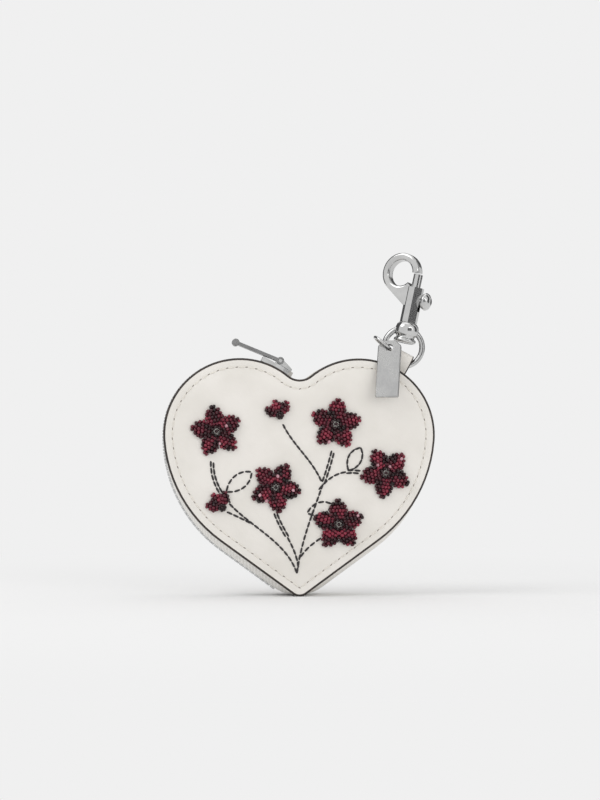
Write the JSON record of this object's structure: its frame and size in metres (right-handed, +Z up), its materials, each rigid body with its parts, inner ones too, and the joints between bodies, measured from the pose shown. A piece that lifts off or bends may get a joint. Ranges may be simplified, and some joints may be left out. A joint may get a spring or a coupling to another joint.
{
  "type": "heart shaped zip purse",
  "caption": "Flat heart shaped coin purse in pale leather with beaded blossoms, zip round one half, leather loop with ring, hang tag and swivel bolt snap.",
  "frame": {"origin": "bottom centre of the bounding box: the tip of the heart touches Z = 0, upright as in the picture", "axes": "+Z up from the tip to the lobes and the snap, +X to the right as seen from the front, +Y from the front face to the back"},
  "size_m": [0.0952, 0.0292, 0.1208],
  "materials": {
    "chalk_leather": "smooth, painted dark brown edges",
    "card_board": "matt",
    "lining_cloth": "plain weave",
    "zip_tape": "woven tape",
    "nickel": "polished nickel plate",
    "brushed_nickel": "satin nickel plate",
    "glass_beads": "small glossy beads, black to garnet",
    "spring_wire": "bright wire"
  },
  "bodies": {
    "purse_front": {"front_panel": "chalk_leather", "front_board": "card_board", "front_lining": "lining_cloth", "side_gusset": "chalk_leather", "zip_tape_front": "zip_tape", "zip_teeth_front": "nickel", "zip_top_stop_front": "nickel", "zip_bottom_stop": "nickel", "hanger_tab": "chalk_leather", "front_blossoms": "glass_beads"},
    "purse_back": {"back_panel": "chalk_leather", "back_board": "card_board", "back_lining": "lining_cloth", "zip_tape_back": "zip_tape", "zip_teeth_back": "nickel", "zip_top_stop_back": "nickel", "back_blossoms": "glass_beads"},
    "slider": {"zip_slider": "nickel"},
    "pull": {"zip_pull": "nickel", "pull_pin": "nickel"},
    "ring": {"hanger_ring": "nickel"},
    "jump": {"jump_ring": "nickel"},
    "tag": {"hang_tag": "brushed_nickel"},
    "eye": {"swivel_eye": "nickel"},
    "hook": {"hook_body": "nickel", "bolt_spring": "spring_wire"},
    "bolt": {"hook_bolt": "nickel", "bolt_knob": "nickel"}
  },
  "joints": [
    {"name": "clam_open", "type": "hinge", "parent": "purse_front", "child": "purse_back", "pos_m": [0.047, 0.0028, 0.0563], "axis": [0, 0, -1], "range_deg": [0, 18], "deforming": ["side_gusset", "zip_tape_back", "zip_teeth_back", "zip_tape_front"]},
    {"name": "slider_travel", "type": "hinge", "parent": "purse_front", "child": "slider", "pos_m": [-0.0208, 0.0028, 0.0563], "axis": [0, -1, 0], "range_deg": [0, 98], "deforming": ["zip_teeth_front"]},
    {"name": "pull_flip", "type": "hinge", "parent": "slider", "child": "pull", "pos_m": [-0.0063, 0.0028, 0.08245], "axis": [0, 1, 0], "range_deg": [-3, 110]},
    {"name": "ring_swing", "type": "hinge", "parent": "purse_front", "child": "ring", "pos_m": [0.03369, -0.0027, 0.08116], "axis": [-0.8878, 0, 0.4602], "range_deg": [-3, 60], "deforming": ["hanger_tab"]},
    {"name": "jump_slide", "type": "hinge", "parent": "ring", "child": "jump", "pos_m": [0.03677, -0.0027, 0.08711], "axis": [0, 1, 0], "range_deg": [-4, 10]},
    {"name": "tag_swing", "type": "hinge", "parent": "jump", "child": "tag", "pos_m": [0.03152, -0.00677, 0.08649], "axis": [0.2408, 0.8987, -0.3665], "range_deg": [-15, 3]},
    {"name": "eye_slide", "type": "hinge", "parent": "ring", "child": "eye", "pos_m": [0.03677, -0.0027, 0.08711], "axis": [0, 1, 0], "range_deg": [-10, 20]},
    {"name": "hook_swivel", "type": "hinge", "parent": "eye", "child": "hook", "pos_m": [0.03861, -0.0027, 0.09576], "axis": [0.2079, 0, 0.9781], "continuous": true},
    {"name": "bolt_slide", "type": "slide", "parent": "hook", "child": "bolt", "axis": [-0.2079, 0, -0.9781], "range_m": [0, 0.003], "stiffness_N_per_m": 150, "springref_m": -0.002, "deforming": ["bolt_spring"]}
  ]
}
